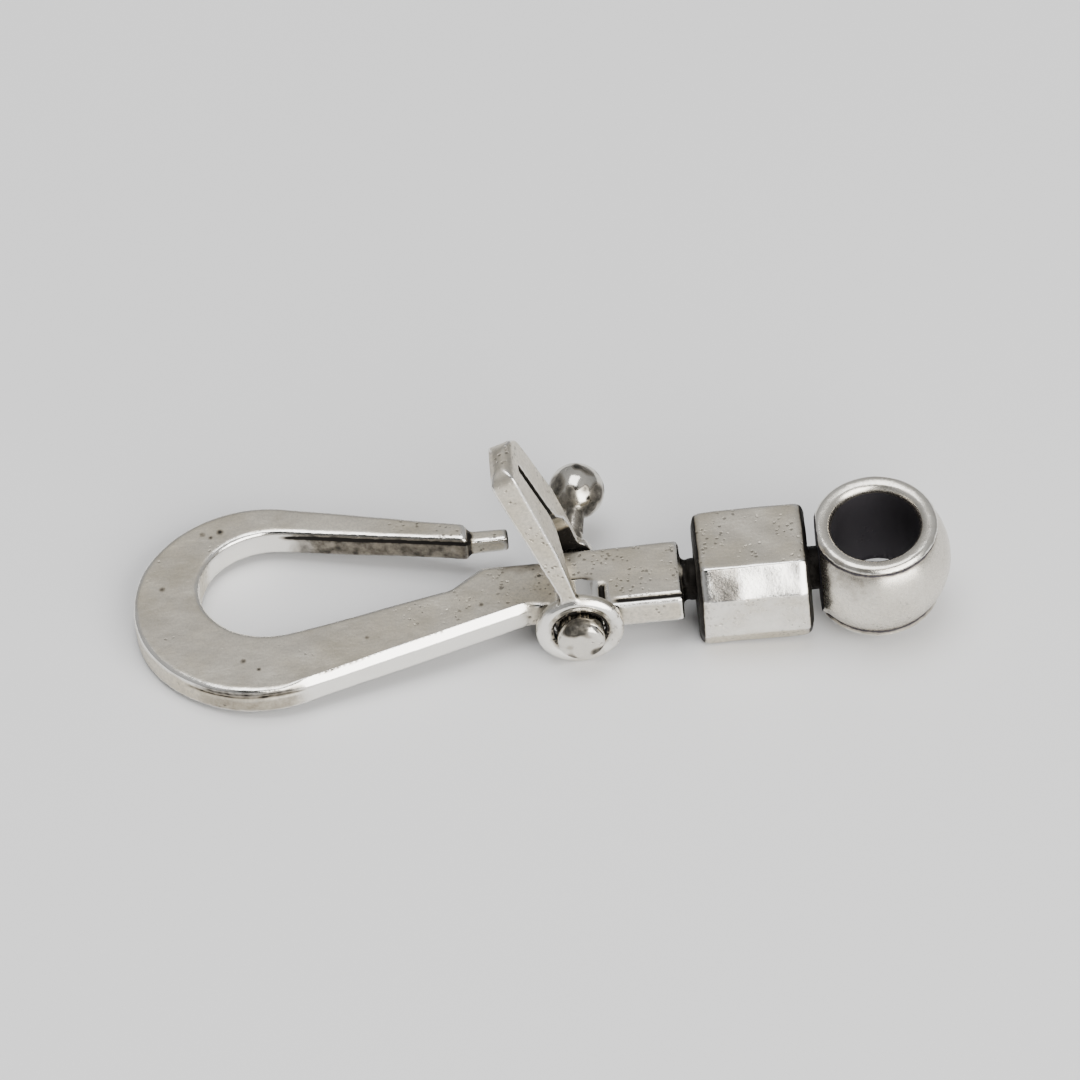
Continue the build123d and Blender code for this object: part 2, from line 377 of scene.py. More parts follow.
def mark_relief(thing, dark, bright=nowhere):
    """Stores how proud or polished each point is, with the painted highlights the bright function gives
    (edge), how sunk (crevice), and how darkened, by tarnish and by painted shade (dark).
    """
    bm = bmesh.new()
    bm.from_mesh(thing.data)
    bm.normal_update()
    bend = []
    for vertex in bm.verts:
        sides = [(vertex.co - edge.other_vert(vertex).co).normalized().dot(vertex.normal)
                 for edge in vertex.link_edges]
        bend.append(sum(sides) / max(len(sides), 1))
    for _ in range(2):
        bend = [(bend[vertex.index] + sum(bend[edge.other_vert(vertex).index] for edge in vertex.link_edges))
                / (1 + len(vertex.link_edges)) for vertex in bm.verts]
    bm.free()
    mesh = thing.data
    shone = [bright(vertex.co, vertex.normal) for vertex in mesh.vertices]
    proud = [min(max(value * EDGE_GAIN, more, 0.0), 1.0) for value, more in zip(bend, shone)]
    sunk = [min(max(-value * CREVICE_GAIN, 0.0), 1.0) for value in bend]
    darkened = [dark(vertex.co, vertex.normal) for vertex in mesh.vertices]
    for name, values in (("edge", proud), ("crevice", sunk), ("dark", darkened)):
        layer = mesh.attributes.new(name, "FLOAT", "POINT")
        layer.data.foreach_set("value", values)


def seated(thing, body, node, finish):
    """Puts a finished piece in the frame, in place of its node."""
    for polygon in thing.data.polygons:
        polygon.use_smooth = True
    thing.data.transform(PLACE)
    thing.data.materials.clear()
    thing.data.materials.append(finish)
    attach(thing, body)
    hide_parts(node)
    return thing


# Shader groups that the silver finishes share
def new_group(name, inputs, outputs):
    """An empty node group with named number sockets."""
    group = bpy.data.node_groups.new(name, "ShaderNodeTree")
    for labels, way in ((inputs, "INPUT"), (outputs, "OUTPUT")):
        for label in labels:
            group.interface.new_socket(label, in_out=way, socket_type="NodeSocketFloat")
    return group, group.nodes.new("NodeGroupInput"), group.nodes.new("NodeGroupOutput")


def node(tree, kind, **settings):
    """A shader node with its settings and, by socket name or place, its plain values."""
    made = tree.nodes.new(kind)
    values = settings.pop("values", {})
    for key, value in settings.items():
        setattr(made, key, value)
    for key, value in values.items():
        made.inputs[key].default_value = value
    return made


def maths(tree, operation, first, second=None, third=None):
    """A Math node on links or plain numbers, giving its output socket."""
    made = node(tree, "ShaderNodeMath", operation=operation)
    for place, value in enumerate((first, second, third)):
        if value is None:
            continue
        if isinstance(value, (int, float)):
            made.inputs[place].default_value = value
        else:
            tree.links.new(value, made.inputs[place])
    return made.outputs[0]


def millimetres(tree, stretch=(1.0, 1.0, 1.0)):
    """The object's own coordinates in millimetres, stretched along each axis."""
    place = node(tree, "ShaderNodeTexCoord")
    scale = node(tree, "ShaderNodeMapping", values={"Scale": [1000.0 * share for share in stretch]})
    tree.links.new(place.outputs["Object"], scale.inputs["Vector"])
    return scale.outputs["Vector"]


def cloud(tree, vector, scale, detail=4.0, roughness=0.55):
    """A noise pattern of the given scale per millimetre."""
    made = node(tree, "ShaderNodeTexNoise", values={"Scale": scale, "Detail": detail, "Roughness": roughness})
    tree.links.new(vector, made.inputs["Vector"])
    return made.outputs["Fac"]


def ramp_between(tree, value, low, high):
    """Maps a value smoothly from low..high to 0..1."""
    made = node(tree, "ShaderNodeMapRange", interpolation_type="SMOOTHSTEP")
    for label, source in (("Value", value), ("From Min", low), ("From Max", high)):
        if isinstance(source, (int, float)):
            made.inputs[label].default_value = source
        else:
            tree.links.new(source, made.inputs[label])
    return made.outputs["Result"]


def attribute(tree, name):
    """A value stored on the piece's points."""
    return node(tree, "ShaderNodeAttribute", attribute_name=name).outputs["Fac"]


def tarnish_and_shade_group():
    """Where the silver is darkened, by tarnish and by painted shade: sunk edges and marked places, broken up
    by clouds.
    """
    group, _, result = new_group("silver tarnish and painted shade", [], ["Mask", "Halo"])
    marked = maths(group, "MAXIMUM", attribute(group, "crevice"), attribute(group, "dark"))
    broken = maths(group, "SUBTRACT", cloud(group, millimetres(group), 3.4, detail=6.0, roughness=0.62), 0.5)
    shifted = maths(group, "MULTIPLY_ADD", broken, 0.5, marked)
    group.links.new(ramp_between(group, shifted, 0.34, 0.66), result.inputs["Mask"])
    group.links.new(ramp_between(group, shifted, 0.10, 0.42), result.inputs["Halo"])
    return group


def polish_and_highlight_group():
    """Where handling has polished the silver's proud edges, and where highlights are painted on, a little
    uneven.
    """
    group, _, result = new_group("polished edges and painted highlights", [], ["Mask"])
    wander = maths(group, "SUBTRACT", cloud(group, millimetres(group), 1.6), 0.5)
    uneven = maths(group, "MULTIPLY_ADD", wander, 0.6, attribute(group, "edge"))
    group.links.new(ramp_between(group, uneven, 0.16, 0.70), result.inputs["Mask"])
    return group


def dots(tree, place, scale, size, ragged, allowed):
    """Small ragged dots, one to a cell, where the allowed mask lets them be."""
    cells = node(tree, "ShaderNodeTexVoronoi", feature="F1", values={"Scale": scale, "Randomness": 1.0})
    tree.links.new(place, cells.inputs["Vector"])
    rough = maths(tree, "SUBTRACT", cloud(tree, place, scale * 2.6, detail=3.0), 0.5)
    edge = maths(tree, "MULTIPLY_ADD", rough, ragged, cells.outputs["Distance"])
    inside = maths(tree, "SUBTRACT", size, edge)
    return maths(tree, "MULTIPLY", ramp_between(tree, inside, -0.04, 0.10), allowed)


def pit_group():
    """Casting pits: a few large, and many specks that thicken towards the shank."""
    group, given, result = new_group("casting pits", ["Large", "Specks"], ["Mask"])
    place = millimetres(group)
    apart = node(group, "ShaderNodeSeparateXYZ")
    group.links.new(place, apart.inputs[0])
    late = ramp_between(group, apart.outputs["X"], -6.0, 0.0)
    lots = maths(group, "MULTIPLY_ADD", late, 0.16, given.outputs["Specks"])
    thick = maths(group, "SUBTRACT", lots, cloud(group, place, 1.1, detail=3.0))
    near_specks = ramp_between(group, thick, -0.02, 0.10)
    rare = maths(group, "SUBTRACT", given.outputs["Large"], cloud(group, place, 0.9, detail=1.0))
    few = ramp_between(group, rare, 0.0, 0.03)
    large = dots(group, place, 2.3, 0.17, 0.30, few)
    fine = dots(group, place, 6.5, 0.30, 0.50, near_specks)
    softened = maths(group, "MULTIPLY", fine, 0.75)
    group.links.new(maths(group, "MAXIMUM", large, softened), result.inputs["Mask"])
    return group


def satin_group():
    """The fine cast grain of the flat faces as a height, its speckle, and slow patches."""
    group, given, result = new_group("cast grain", ["Grain"], ["Height", "Speckle", "Patches"])
    lines = cloud(group, millimetres(group, (0.6, 1.6, 1.2)), 4.5, detail=6.0, roughness=0.7)
    specks = cloud(group, millimetres(group), 11.0, detail=4.0, roughness=0.65)
    mixed = maths(group, "MULTIPLY_ADD", specks, 0.7, lines)
    group.links.new(maths(group, "MULTIPLY", mixed, given.outputs["Grain"]), result.inputs["Height"])
    group.links.new(ramp_between(group, specks, 0.36, 0.64), result.inputs["Speckle"])
    group.links.new(ramp_between(group, cloud(group, millimetres(group), 0.6, detail=6.0), 0.36, 0.64),
                    result.inputs["Patches"])
    return group


TARNISH_AND_SHADE = tarnish_and_shade_group()
POLISH_AND_HIGHLIGHT = polish_and_highlight_group()
PITS = pit_group()
SATIN = satin_group()


def use_group(tree, group, **values):
    """Places a shared group in a material with its own values."""
    made = tree.nodes.new("ShaderNodeGroup")
    made.node_tree = group
    for key, value in values.items():
        made.inputs[key.title()].default_value = value
    return made


def mix_colour(tree, factor, first, second):
    """Mixes two colours, each a link or a plain colour."""
    made = node(tree, "ShaderNodeMix", data_type="RGBA")
    tree.links.new(factor, made.inputs["Factor"])
    for label, value in (("A", first), ("B", second)):
        socket = [item for item in made.inputs if item.name == label and item.type == "RGBA"][0]
        if isinstance(value, tuple):
            socket.default_value = value
        else:
            tree.links.new(value, socket)
    return [item for item in made.outputs if item.type == "RGBA"][0]


def mix_value(tree, factor, first, second):
    """Mixes two numbers by the factor."""
    span = maths(tree, "SUBTRACT", second, first)
    return maths(tree, "MULTIPLY_ADD", factor, span, first)


# The colours of dust in the grain and of the brown edge round the tarnish and the painted shade
DUST_GREY = (0.26, 0.245, 0.22, 1.0)
HALO_BROWN = (0.25, 0.215, 0.165, 1.0)


def silver(name, flat, patch, bright, black, rough_flat, rough_bright, large_pits, specks, grain):
    """A silver finish: satin flats, bright edges and painted highlights, dark crevices and painted shade with
    a brown halo, pits and grain.
    """
    material = bpy.data.materials.new(name)
    material.use_nodes = True
    tree = material.node_tree
    tree.nodes.clear()
    shader = node(tree, "ShaderNodeBsdfPrincipled", values={"Metallic": 1.0})
    output = node(tree, "ShaderNodeOutputMaterial")
    tree.links.new(shader.outputs[0], output.inputs[0])
    tarnish_and_shade = use_group(tree, TARNISH_AND_SHADE)
    polish_and_highlight = use_group(tree, POLISH_AND_HIGHLIGHT).outputs["Mask"]
    pitted = use_group(tree, PITS, large=large_pits, specks=specks).outputs["Mask"]
    satin = use_group(tree, SATIN, grain=grain)
    patches, speckle = satin.outputs["Patches"], satin.outputs["Speckle"]
    metal = mix_colour(tree, patches, flat, patch)
    dusty = mix_colour(tree, maths(tree, "MULTIPLY", speckle, 0.34 * grain), metal, DUST_GREY)
    # The bright colour goes on polished edges and on painted highlights, the black on tarnish, pits and
    # painted shade
    wear_and_highlight = mix_colour(tree, polish_and_highlight, dusty, bright)
    haloed = mix_colour(tree, maths(tree, "MULTIPLY", tarnish_and_shade.outputs["Halo"], 0.7), wear_and_highlight, HALO_BROWN)
    unworn = maths(tree, "MULTIPLY", pitted, maths(tree, "MULTIPLY_ADD", polish_and_highlight, -0.8, 0.8))
    dim = maths(tree, "MAXIMUM", tarnish_and_shade.outputs["Mask"], unworn)
    colour = mix_colour(tree, dim, haloed, black)
    tree.links.new(colour, shader.inputs["Base Color"])
    rubbed = mix_value(tree, speckle, rough_flat, rough_flat + 0.08 * grain)
    rough = mix_value(tree, polish_and_highlight, rubbed, rough_bright)
    tree.links.new(mix_value(tree, dim, rough, 0.60), shader.inputs["Roughness"])
    sunk = maths(tree, "MULTIPLY", unworn, -3.0)
    height = maths(tree, "ADD", maths(tree, "MULTIPLY", satin.outputs["Height"], 0.45), sunk)
    bump = node(tree, "ShaderNodeBump", values={"Strength": 0.5, "Distance": 0.00002})
    tree.links.new(height, bump.inputs["Height"])
    tree.links.new(bump.outputs["Normal"], shader.inputs["Normal"])
    return material


SATIN_SILVER = silver("satin_silver", flat=(0.63, 0.57, 0.45, 1.0), patch=(0.71, 0.66, 0.56, 1.0),
                      bright=(0.90, 0.88, 0.83, 1.0), black=(0.020, 0.018, 0.016, 1.0),
                      rough_flat=0.34, rough_bright=0.12, large_pits=0.30, specks=0.38, grain=1.0)
BRIGHT_SILVER = silver("bright_silver", flat=(0.66, 0.635, 0.57, 1.0), patch=(0.74, 0.71, 0.64, 1.0),
                       bright=(0.90, 0.88, 0.84, 1.0), black=(0.045, 0.042, 0.036, 1.0),
                       rough_flat=0.13, rough_bright=0.08, large_pits=0.26, specks=0.24, grain=0.3)
# The bead's dark marks, its painted shade in the bore among them, take a dark grey
BEAD_SILVER = silver("bead_silver", flat=(0.66, 0.62, 0.54, 1.0), patch=(0.76, 0.72, 0.64, 1.0),
                     bright=(0.88, 0.86, 0.80, 1.0), black=(0.075, 0.070, 0.078, 1.0),
                     rough_flat=0.25, rough_bright=0.17, large_pits=0.20, specks=0.20, grain=0.5)


# The hook with its shank, its cross knuckle and its post
def hook_plate():
    """The flat drop-shaped plate with its opening and the start of the shank."""
    outer, inner = (ROUND_END_RADIUS, ROUND_END_ACROSS), (OPENING_ALONG, OPENING_ACROSS)
    tip_outer, tip_inner = (TIP_ARM_END, TIP_ARM_OUTER), (TIP_ARM_END, TIP_ARM_INNER)
    half, plate_end = SHANK_WIDTH / 2, BLOCK_START + 0.6
    shank_near, throat = (SHANK_START, -half), (THROAT_END, THROAT_ACROSS)
    outer_far = touch_point(outer, ROUND_END_RADIUS, tip_outer, 1)
    outer_near = touch_point(outer, ROUND_END_RADIUS, shank_near, -1)
    inner_far = touch_point(inner, OPENING_RADIUS, tip_inner, 1)
    inner_near = touch_point(inner, OPENING_RADIUS, throat, -1)
    bm = bmesh.new()
    pen = bm.verts.new((tip_inner[0], tip_inner[1], -PLATE_THICKNESS / 2))
    pen = line_to(bm, pen, inner_far)
    pen = arc_to(bm, pen, inner, turn_between(inner, inner_far, inner_near, 1), 48)
    pen = line_to(bm, pen, throat)
    pen = line_to(bm, pen, (THROAT_END + THROAT_RISE, half))
    pen = line_to(bm, pen, (plate_end, half))
    pen = line_to(bm, pen, (plate_end, -half))
    pen = line_to(bm, pen, shank_near)
    pen = line_to(bm, pen, outer_near)
    pen = arc_to(bm, pen, outer, turn_between(outer, outer_near, outer_far, -1), 72)
    pen = line_to(bm, pen, tip_outer)
    line_to(bm, pen, tip_inner)
    filled(bm, PLATE_THICKNESS)
    round_rims(bm, PLATE_EDGE, segments=6, above=0.0)
    round_rims(bm, 0.1)
    return bm


def soft_block(bm, low, high, rounding):
    """A box with rounded edges between two corners."""
    made = block(bm, low, high)
    edges = list({edge for corner in made for edge in corner.link_edges})
    bmesh.ops.bevel(bm, geom=edges, offset=rounding, segments=3, profile=0.5, affect="EDGES", material=-1)


def make_hook():
    bm = hook_plate()
    middle, half, top = (TIP_ARM_OUTER + TIP_ARM_INNER) / 2, TONGUE_WIDTH / 2, PLATE_THICKNESS / 2
    soft_block(bm, (TIP_ARM_END - 0.4, middle - half, -top + 0.1),
               (TIP_ARM_END + TONGUE_LENGTH, middle + half, top - TONGUE_STEP), 0.1)
    soft_block(bm, (BLOCK_START, -BLOCK_WIDTH / 2, -BLOCK_THICKNESS / 2),
               (SHANK_END, BLOCK_WIDTH / 2, BLOCK_THICKNESS / 2), BLOCK_EDGE)
    round_bar(bm, (PIN_ALONG, -KNUCKLE_START, 0), (PIN_ALONG, -BLOCK_WIDTH / 2, 0), HEAD_DIAMETER)
    round_bar(bm, (SHANK_END - 0.3, 0, 0), (SHANK_END + POST_THIN_END, 0, 0), POST_THIN_DIAMETER)
    round_bar(bm, (SHANK_END + POST_THICK_START, 0, 0), (BEAD_START + 0.6, 0, 0), POST_DIAMETER)
    hook = cast(as_object(bm, "hook_cast"), HOOK_GRID, 3)
    bore = bmesh.new()
    round_bar(bore, (PIN_ALONG, -2, 0), (PIN_ALONG, 2, 0), PIN_BORE)
    cut(hook, as_object(bore, "pin_bore"))

    def near_arm(point):
        """How far a point belongs to the near arm, whose outer top edge is filed."""
        return soft_band(3.6, 5.0, 10.2, 10.9, point.x) * soft_drop(-0.6, 0.2, point.y)

    corner = (SHANK_START, -SHANK_WIDTH / 2)
    outer_near = touch_point((ROUND_END_RADIUS, ROUND_END_ACROSS), ROUND_END_RADIUS, corner, -1)
    run, rise = corner[0] - outer_near[0], corner[1] - outer_near[1]
    length = math.hypot(run, rise)
    out = (rise / length, -run / length)
    tilt = math.radians(FACET_TILT)
    filed(hook, (outer_near[0], outer_near[1], FACET_START),
          (out[0] * math.cos(tilt), out[1] * math.cos(tilt), math.sin(tilt)), near_arm)

    def relief(point, normal):
        """A line low on the outer wall, the block's groove, and the corner beside the knuckle."""
        shift = 0.0
        on_wall = soft_step(0.75, 0.95, 1 - abs(normal.z))
        away = around(point, ROUND_END_RADIUS, ROUND_END_ACROSS)
        if away > ROUND_END_RADIUS - 0.5 and point.y < 0.0 and point.x < 6.0:
            line = abs(point.z - 0.16 - 0.03 * unevenness(point, 1.5, 3.0))
            part = soft_band(0.9, 1.8, 4.2, 5.4, point.x)
            shift -= 0.035 * on_wall * soft_drop(0.03, 0.1, line) * part
        if GROOVE_START < point.x < SHANK_END - 0.05 and normal.z > 0.6:
            line = abs(point.y + BLOCK_WIDTH / 2 - GROOVE_INSET)
            shift -= 0.06 * soft_drop(0.03, 0.10, line) * soft_step(GROOVE_START, 13.1, point.x)
        if point.y < -0.15 and point.z > -0.2:
            crevice = soft_drop(0.03, 0.13, abs(point.x - PIN_ALONG - HEAD_DIAMETER / 2 - 0.02))
            shift -= 0.14 * crevice * soft_step(0.15, 0.35, -point.y)
        return shift

    def dark(point, normal):
        """Where the hook is darkened, by tarnish and by painted shade, each mark by its place."""
        neck = soft_step(SHANK_END - 0.02, SHANK_END + 0.07, point.x)
        bore_edge = soft_drop(0.05, 0.35, off_pin(point) - PIN_BORE / 2)
        at_bore = bore_edge * soft_step(0.5, 0.9, abs(normal.y)) * soft_step(0.2, 0.6, abs(point.y))
        # Painted shade on the undersides
        under = 0.55 * soft_step(0.5, 0.95, -normal.z)
        # The block's groove, and the corner beside the knuckle
        groove = 0.0
        if GROOVE_START < point.x < SHANK_END and normal.z > 0.3:
            groove = 0.9 * soft_drop(0.02, 0.11, abs(point.y + BLOCK_WIDTH / 2 - GROOVE_INSET))
            groove *= soft_step(GROOVE_START, 13.0, point.x)
        beside = 0.8 * soft_drop(0.01, 0.08, abs(point.x - PIN_ALONG - HEAD_DIAMETER / 2 - 0.04))
        beside *= soft_step(0.1, 0.3, -point.y)
        # Darker grey on the round end's near wall and a dark line under its edge, and the pits
        bent = abs(around(point, ROUND_END_RADIUS, ROUND_END_ACROSS) - ROUND_END_RADIUS)
        bend = soft_band(1.2, 2.0, 4.0, 4.8, point.x) * soft_drop(-1.0, 0.0, point.y)
        darker_wall = 0.33 * bend * soft_step(0.5, 0.9, 1 - abs(normal.z)) * soft_drop(0.1, 0.3, bent)
        under_edge = 0.56 * bend * soft_drop(0.02, 0.12, abs(point.z - 0.28)) * soft_drop(0.1, 0.3, bent)
        pits = max(0.56 * soft_drop(size * 0.3, size * 1.1, around(point, along, across))
                   for along, across, size in HOOK_PITS) * soft_step(0.5, 0.8, normal.z)
        # The throat's corner and the tongue's tip, darkened as painted shadow of the keeper; the far arm's
        # inner wall with its line, and the tongue's step
        throat = 0.55 * soft_drop(0.2, 0.9, math.hypot((point.x - 10.6) * 0.6, point.y - 1.0))
        far_wall = soft_step(0.55, 0.95, -normal.y) * soft_band(4.0, 4.7, 9.0, 9.3, point.x)
        far_wall *= 0.5 * soft_step(1.2, 1.6, point.y)
        line = 0.95 * soft_drop(0.03, 0.10, abs(point.z - 0.20)) * soft_band(3.8, 4.5, 9.1, 9.3, point.x)
        line *= soft_step(1.2, 1.6, point.y) * soft_step(0.3, 0.7, -normal.y)
        tip = 0.7 * soft_band(10.0, 10.2, 10.4, 10.8, point.x) * soft_step(1.5, 1.7, point.y)
        notch = 0.6 * soft_drop(0.03, 0.12, abs(point.x - 9.12)) * soft_step(1.6, 1.8, point.y)
        return max(neck, at_bore, under, groove, beside, darker_wall, under_edge, pits, throat, far_wall, line,
                   tip, notch)

    def bright(point, normal):
        # Painted highlights on the near arm's filed facet, which is also polished, on the knuckle's top and
        # round the opening's rim
        facet = near_arm(point) * soft_step(0.45, 0.65, math.hypot(normal.x, normal.y))
        facet *= soft_step(0.3, 0.6, -normal.y)
        radius = HEAD_DIAMETER / 2
        knuckle = soft_band(0.48, 0.56, radius + 0.03, radius + 0.1, off_pin(point))
        knuckle *= soft_step(0.0, 0.2, -point.y)
        opening = around(point, OPENING_ALONG, OPENING_ACROSS)
        rim = soft_drop(OPENING_RADIUS + 0.3, OPENING_RADIUS + 0.4, opening)
        rim *= soft_band(1.6, 2.6, 4.6, 5.2, point.x)
        rim *= soft_step(0.3, 0.6, math.hypot(normal.x, normal.y)) * soft_step(0.0, 0.4, -normal.y)
        wear_and_highlight = 0.75 + 0.25 * unevenness(point, 0.7, 12.0)
        return max(facet * wear_and_highlight, knuckle, rim)

    hand_finished(hook, [(2.6, 0.035, 1.0), (0.8, 0.012, 5.0), (0.3, 0.004, 9.0)], relief)
    mark_relief(hook, dark, bright)
    return seated(hook, "clasp", "hook", SATIN_SILVER)


# The cross pin with its thick near end and its ball
def make_pin():
    bm = bmesh.new()
    radius, rounding = HEAD_DIAMETER / 2, 0.2
    profile = [(PIN_ALONG, -HEAD_END, 0), (PIN_ALONG, -HEAD_END, radius - rounding)]
    for step in range(1, 7):
        turn = math.radians(15 * step)
        profile.append((PIN_ALONG, -HEAD_END + rounding * (1 - math.cos(turn)),
                        radius - rounding * (1 - math.sin(turn))))
    profile += [(PIN_ALONG, -HEAD_START, radius), (PIN_ALONG, -HEAD_START, PIN_DIAMETER / 2),
                (PIN_ALONG, BAR_END, PIN_DIAMETER / 2), (PIN_ALONG, BAR_END, 0)]
    lathe(bm, profile, (PIN_ALONG, 0, 0), (0, 1, 0), 64)
    round_bar(bm, (PIN_ALONG, BAR_END - PIN_DIAMETER / 4, 0), BALL_CENTRE, PIN_DIAMETER)
    bmesh.ops.create_uvsphere(bm, u_segments=64, v_segments=32, radius=BALL_DIAMETER / 2,
                              matrix=Matrix.Translation(BALL_CENTRE))
    pin = cast(as_object(bm, "pin_with_ball"), PIN_GRID, 5)

    def dark(point, normal):
        by_leg = 0.8 * soft_drop(0.02, 0.14, abs(point.y - BAR_END))
        under_head = soft_drop(0.0, 0.10, abs(point.y + HEAD_START))
        by_ring = 0.5 * soft_band(1.0, 1.2, LEG_OUTER - 0.1, LEG_OUTER + 0.1, -point.y)
        # Mottled patches on the ball and the head: tarnish, with painted dark reflection in it; the listed
        # patches on the ball are painted dark reflections
        patches = 0.0
        if point.y > BAR_END:
            patches = 0.60 * soft_step(0.0, 0.4, unevenness(point, 0.42, 7.0))
        if point.y < -LEG_OUTER:
            patches = 0.60 * soft_step(-0.12, 0.34, unevenness(point, 0.42, 21.0))
        if point.y > BAR_END + 0.3:
            from_ball = (point - Vector(BALL_CENTRE)).normalized()
            for aim, width in BALL_PATCHES:
                near = from_ball.dot(Vector(aim).normalized())
                patches = max(patches, 0.58 * soft_step(width - 0.12, width + 0.03, near))
        return max(by_leg, under_head, by_ring, patches) * 0.95

    hand_finished(pin, [(0.9, 0.012, 2.0), (0.35, 0.005, 7.0)])
    mark_relief(pin, dark)
    return seated(pin, "clasp", "pivot_pin", BRIGHT_SILVER)


# The keeper: two legs that run together above and fork round the shank to an eye each
def keeper_seat():
    """The matrix from the keeper's own reach, across and back to the clasp's millimetres."""
    lift = math.radians(KEEPER_ANGLE)
    reach = Vector((-math.cos(lift), 0, math.sin(lift)))
    back = Vector((math.sin(lift), 0, math.cos(lift)))
    turn = Matrix((reach, Vector((0, 1, 0)), back)).transposed().to_4x4()
    return Matrix.Translation((PIN_ALONG, 0, 0)) @ turn


def blend_between(value, start, end, first, last):
    """The value between first and last as its place runs from start to end."""
    share = min(max((value - start) / (end - start), 0.0), 1.0)
    return first + (last - first) * share


def keeper_blank():
    """The forked strip before its eyes, lying flat in reach, across and back."""
    half_slot, slot_end = KEEPER_SLOT / 2, KEEPER_REACH - KEEPER_END_WALL
    rim = [(0.0, LEG_INNER), (KEEPER_FORK_START, LEG_INNER),
           (KEEPER_FORK_END, KEEPER_SLOT_ACROSS + half_slot), (slot_end, KEEPER_SLOT_ACROSS_END + half_slot),
           (slot_end, KEEPER_SLOT_ACROSS_END - half_slot), (KEEPER_FORK_END, KEEPER_SLOT_ACROSS - half_slot),
           (KEEPER_FORK_START, -LEG_INNER), (0.0, -LEG_INNER),
           (0.0, -LEG_OUTER), (KEEPER_SHOULDER, -LEG_OUTER), (KEEPER_REACH, -KEEPER_NEAR_END),
           (KEEPER_REACH, KEEPER_FAR_END), (KEEPER_SHOULDER, LEG_OUTER), (0.0, LEG_OUTER)]
    bm = bmesh.new()
    pen = bm.verts.new((rim[0][0], rim[0][1], 0.0))
    for point in rim[1:] + rim[:1]:
        pen = line_to(bm, pen, point)
    filled(bm, 1.0)
    upright = [edge for edge in bm.edges if abs(edge.verts[0].co.z - edge.verts[1].co.z) > 0.5]
    nose = [edge for edge in upright if edge.verts[0].co.x > KEEPER_REACH - 0.01]
    bends = [edge for edge in upright if 1.0 < edge.verts[0].co.x < 3.2]
    for corner_edge, offset in ((min(nose, key=lambda edge: edge.verts[0].co.y), NOSE_NEAR_CORNER),
                                (max(nose, key=lambda edge: edge.verts[0].co.y), NOSE_FAR_CORNER)):
        bmesh.ops.bevel(bm, geom=[corner_edge], offset=offset, segments=10, profile=0.5, affect="EDGES",
                        material=-1)
    bmesh.ops.bevel(bm, geom=bends, offset=KEEPER_BEND_ROUND, segments=8, profile=0.5, affect="EDGES",
                    material=-1)
    nose_cuts = [KEEPER_REACH - NOSE_ROUND * (1 - math.sin(math.radians(10 * step))) for step in range(9)]
    for reach in [0.7, KEEPER_FORK_START, 1.8, 2.2, KEEPER_FORK_END, 3.4, 4.2, 5.0] + nose_cuts:
        bmesh.ops.bisect_plane(bm, geom=bm.verts[:] + bm.edges[:] + bm.faces[:], plane_co=(reach, 0, 0),
                               plane_no=(1, 0, 0))
    for corner in bm.verts:
        if corner.co.z < 0.5:
            corner.co.z = blend_between(corner.co.x, 0, KEEPER_FORK_START, KEEPER_LOWER_AT_EYE, KEEPER_LOWER)
        elif corner.co.x < KEEPER_FORK_END:
            corner.co.z = blend_between(corner.co.x, 0, KEEPER_FORK_END, KEEPER_UPPER_AT_EYE,
                                        KEEPER_UPPER_AT_FORK)
        else:
            corner.co.z = blend_between(corner.co.x, KEEPER_FORK_END, KEEPER_REACH, KEEPER_UPPER_AT_FORK,
                                        KEEPER_UPPER_AT_END)
        past = max(corner.co.x - (KEEPER_REACH - NOSE_ROUND), 0.0)
        drop = NOSE_ROUND - math.sqrt(max(NOSE_ROUND ** 2 - past ** 2, 0.0))
        middle = (KEEPER_LOWER + KEEPER_UPPER_AT_END) / 2
        corner.co.z += -drop if corner.co.z > middle else drop if past > 0 else 0.0
    round_rims(bm, 0.16, segments=4)
    return bm


